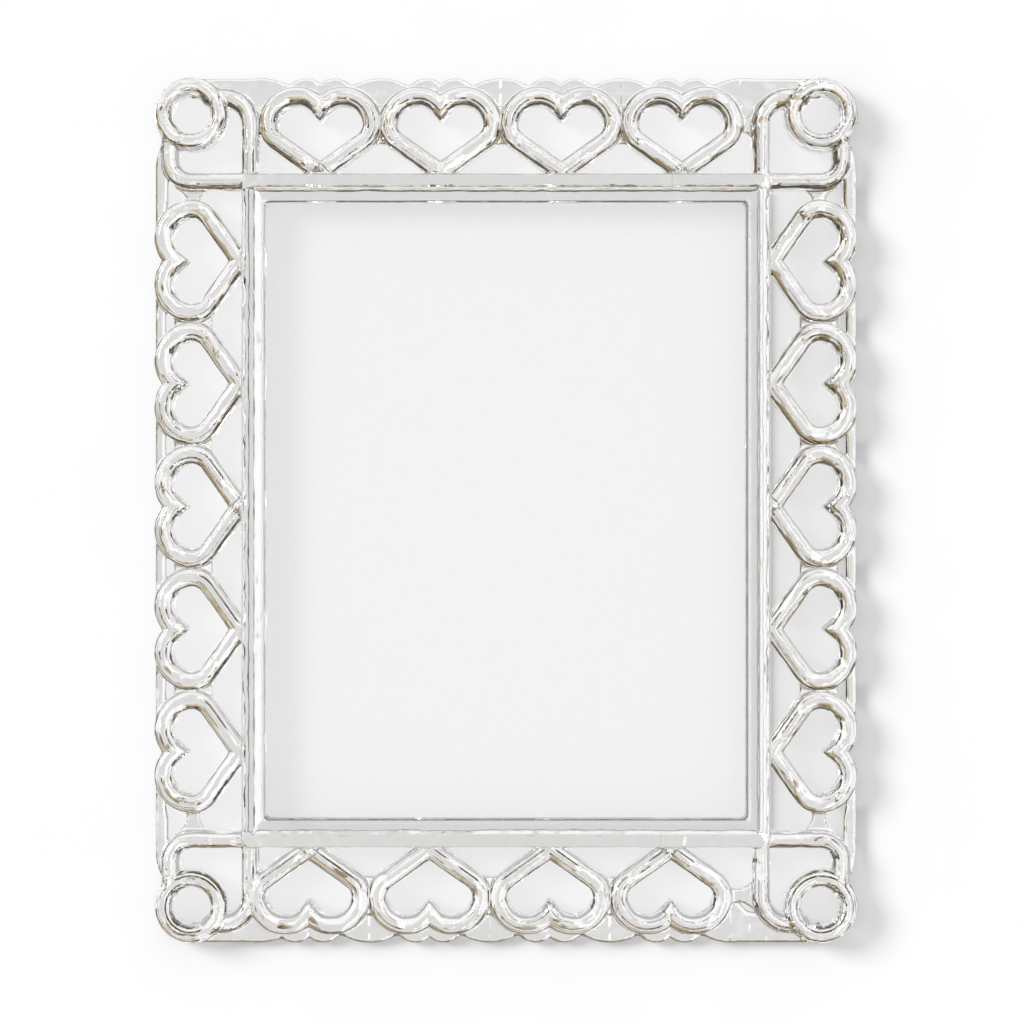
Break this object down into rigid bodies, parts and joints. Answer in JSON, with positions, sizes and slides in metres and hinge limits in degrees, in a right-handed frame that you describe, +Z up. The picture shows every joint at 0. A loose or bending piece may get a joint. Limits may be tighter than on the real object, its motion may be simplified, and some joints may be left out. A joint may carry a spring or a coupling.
{
  "type": "picture frame",
  "caption": "Clear acrylic picture frame: openwork border of hearts and corner knots round a lipped window, with pane, backing board, turn buttons and a hinged easel leg.",
  "frame": {"origin": "centre of the bounding box's bottom face, on the surface that the frame stands on, with the easel leg open", "axes": "+Z up; +X to the right seen from the front; the picture faces -Y and up, leaning back 14 degrees; the leg opens towards +Y"},
  "size_m": [0.278, 0.1216, 0.3344],
  "materials": {
    "moulding": "clear polished acrylic",
    "pane": "clear flat acrylic sheet",
    "insert": "plain white card, matt",
    "board": "white-faced backing board, matt",
    "steel": "nickel-plated steel, satin",
    "leg": "clear polished acrylic sheet",
    "button": "clear moulded acrylic"
  },
  "bodies": {
    "frame": {"rail_top": "moulding", "rail_bottom": "moulding", "rail_left": "moulding", "rail_right": "moulding", "heart_top_1": "moulding", "heart_top_2": "moulding", "heart_top_3": "moulding", "heart_top_4": "moulding", "heart_bottom_1": "moulding", "heart_bottom_2": "moulding", "heart_bottom_3": "moulding", "heart_bottom_4": "moulding", "heart_left_1": "moulding", "heart_left_2": "moulding", "heart_left_3": "moulding", "heart_left_4": "moulding", "heart_left_5": "moulding", "heart_right_1": "moulding", "heart_right_2": "moulding", "heart_right_3": "moulding", "heart_right_4": "moulding", "heart_right_5": "moulding", "knot_top_left": "moulding", "knot_top_right": "moulding", "knot_bottom_left": "moulding", "knot_bottom_right": "moulding", "window_pane": "pane", "blank_insert": "insert", "backing_board": "board", "hinge_plate": "steel", "hinge_rivets": "steel", "hinge_pin": "steel", "button_pins": "button", "sawtooth_hanger": "steel", "hanger_nails": "steel"},
    "leg": {"leg_bracket": "steel", "leg_rivets": "steel", "easel_leg": "leg"},
    "button_1": {"turn_button_1": "button"},
    "button_2": {"turn_button_2": "button"},
    "button_3": {"turn_button_3": "button"},
    "button_4": {"turn_button_4": "button"},
    "button_5": {"turn_button_5": "button"},
    "button_6": {"turn_button_6": "button"}
  },
  "joints": [
    {"name": "leg_hinge", "type": "hinge", "parent": "frame", "child": "leg", "pos_m": [0, 0.01001, 0.21354], "axis": [1, 0, 0], "range_deg": [-27, 0]},
    {"name": "turn_button_1_pivot", "type": "hinge", "parent": "frame", "child": "button_1", "pos_m": [-0.0734, 0.02781, 0.2967], "axis": [0, 0.9703, -0.2419], "range_deg": [-90, 90]},
    {"name": "turn_button_2_pivot", "type": "hinge", "parent": "frame", "child": "button_2", "pos_m": [0.0694, 0.02781, 0.2967], "axis": [0, 0.9703, -0.2419], "range_deg": [-90, 90]},
    {"name": "turn_button_3_pivot", "type": "hinge", "parent": "frame", "child": "button_3", "pos_m": [-0.0778, -0.03751, 0.03472], "axis": [0, 0.9703, -0.2419], "range_deg": [-90, 90]},
    {"name": "turn_button_4_pivot", "type": "hinge", "parent": "frame", "child": "button_4", "pos_m": [0.065, -0.03751, 0.03472], "axis": [0, 0.9703, -0.2419], "range_deg": [-90, 90]},
    {"name": "turn_button_5_pivot", "type": "hinge", "parent": "frame", "child": "button_5", "pos_m": [-0.1065, -0.00446, 0.16727], "axis": [0, 0.9703, -0.2419], "range_deg": [-90, 90]},
    {"name": "turn_button_6_pivot", "type": "hinge", "parent": "frame", "child": "button_6", "pos_m": [0.1065, -0.00446, 0.16727], "axis": [0, 0.9703, -0.2419], "range_deg": [-90, 90]}
  ]
}
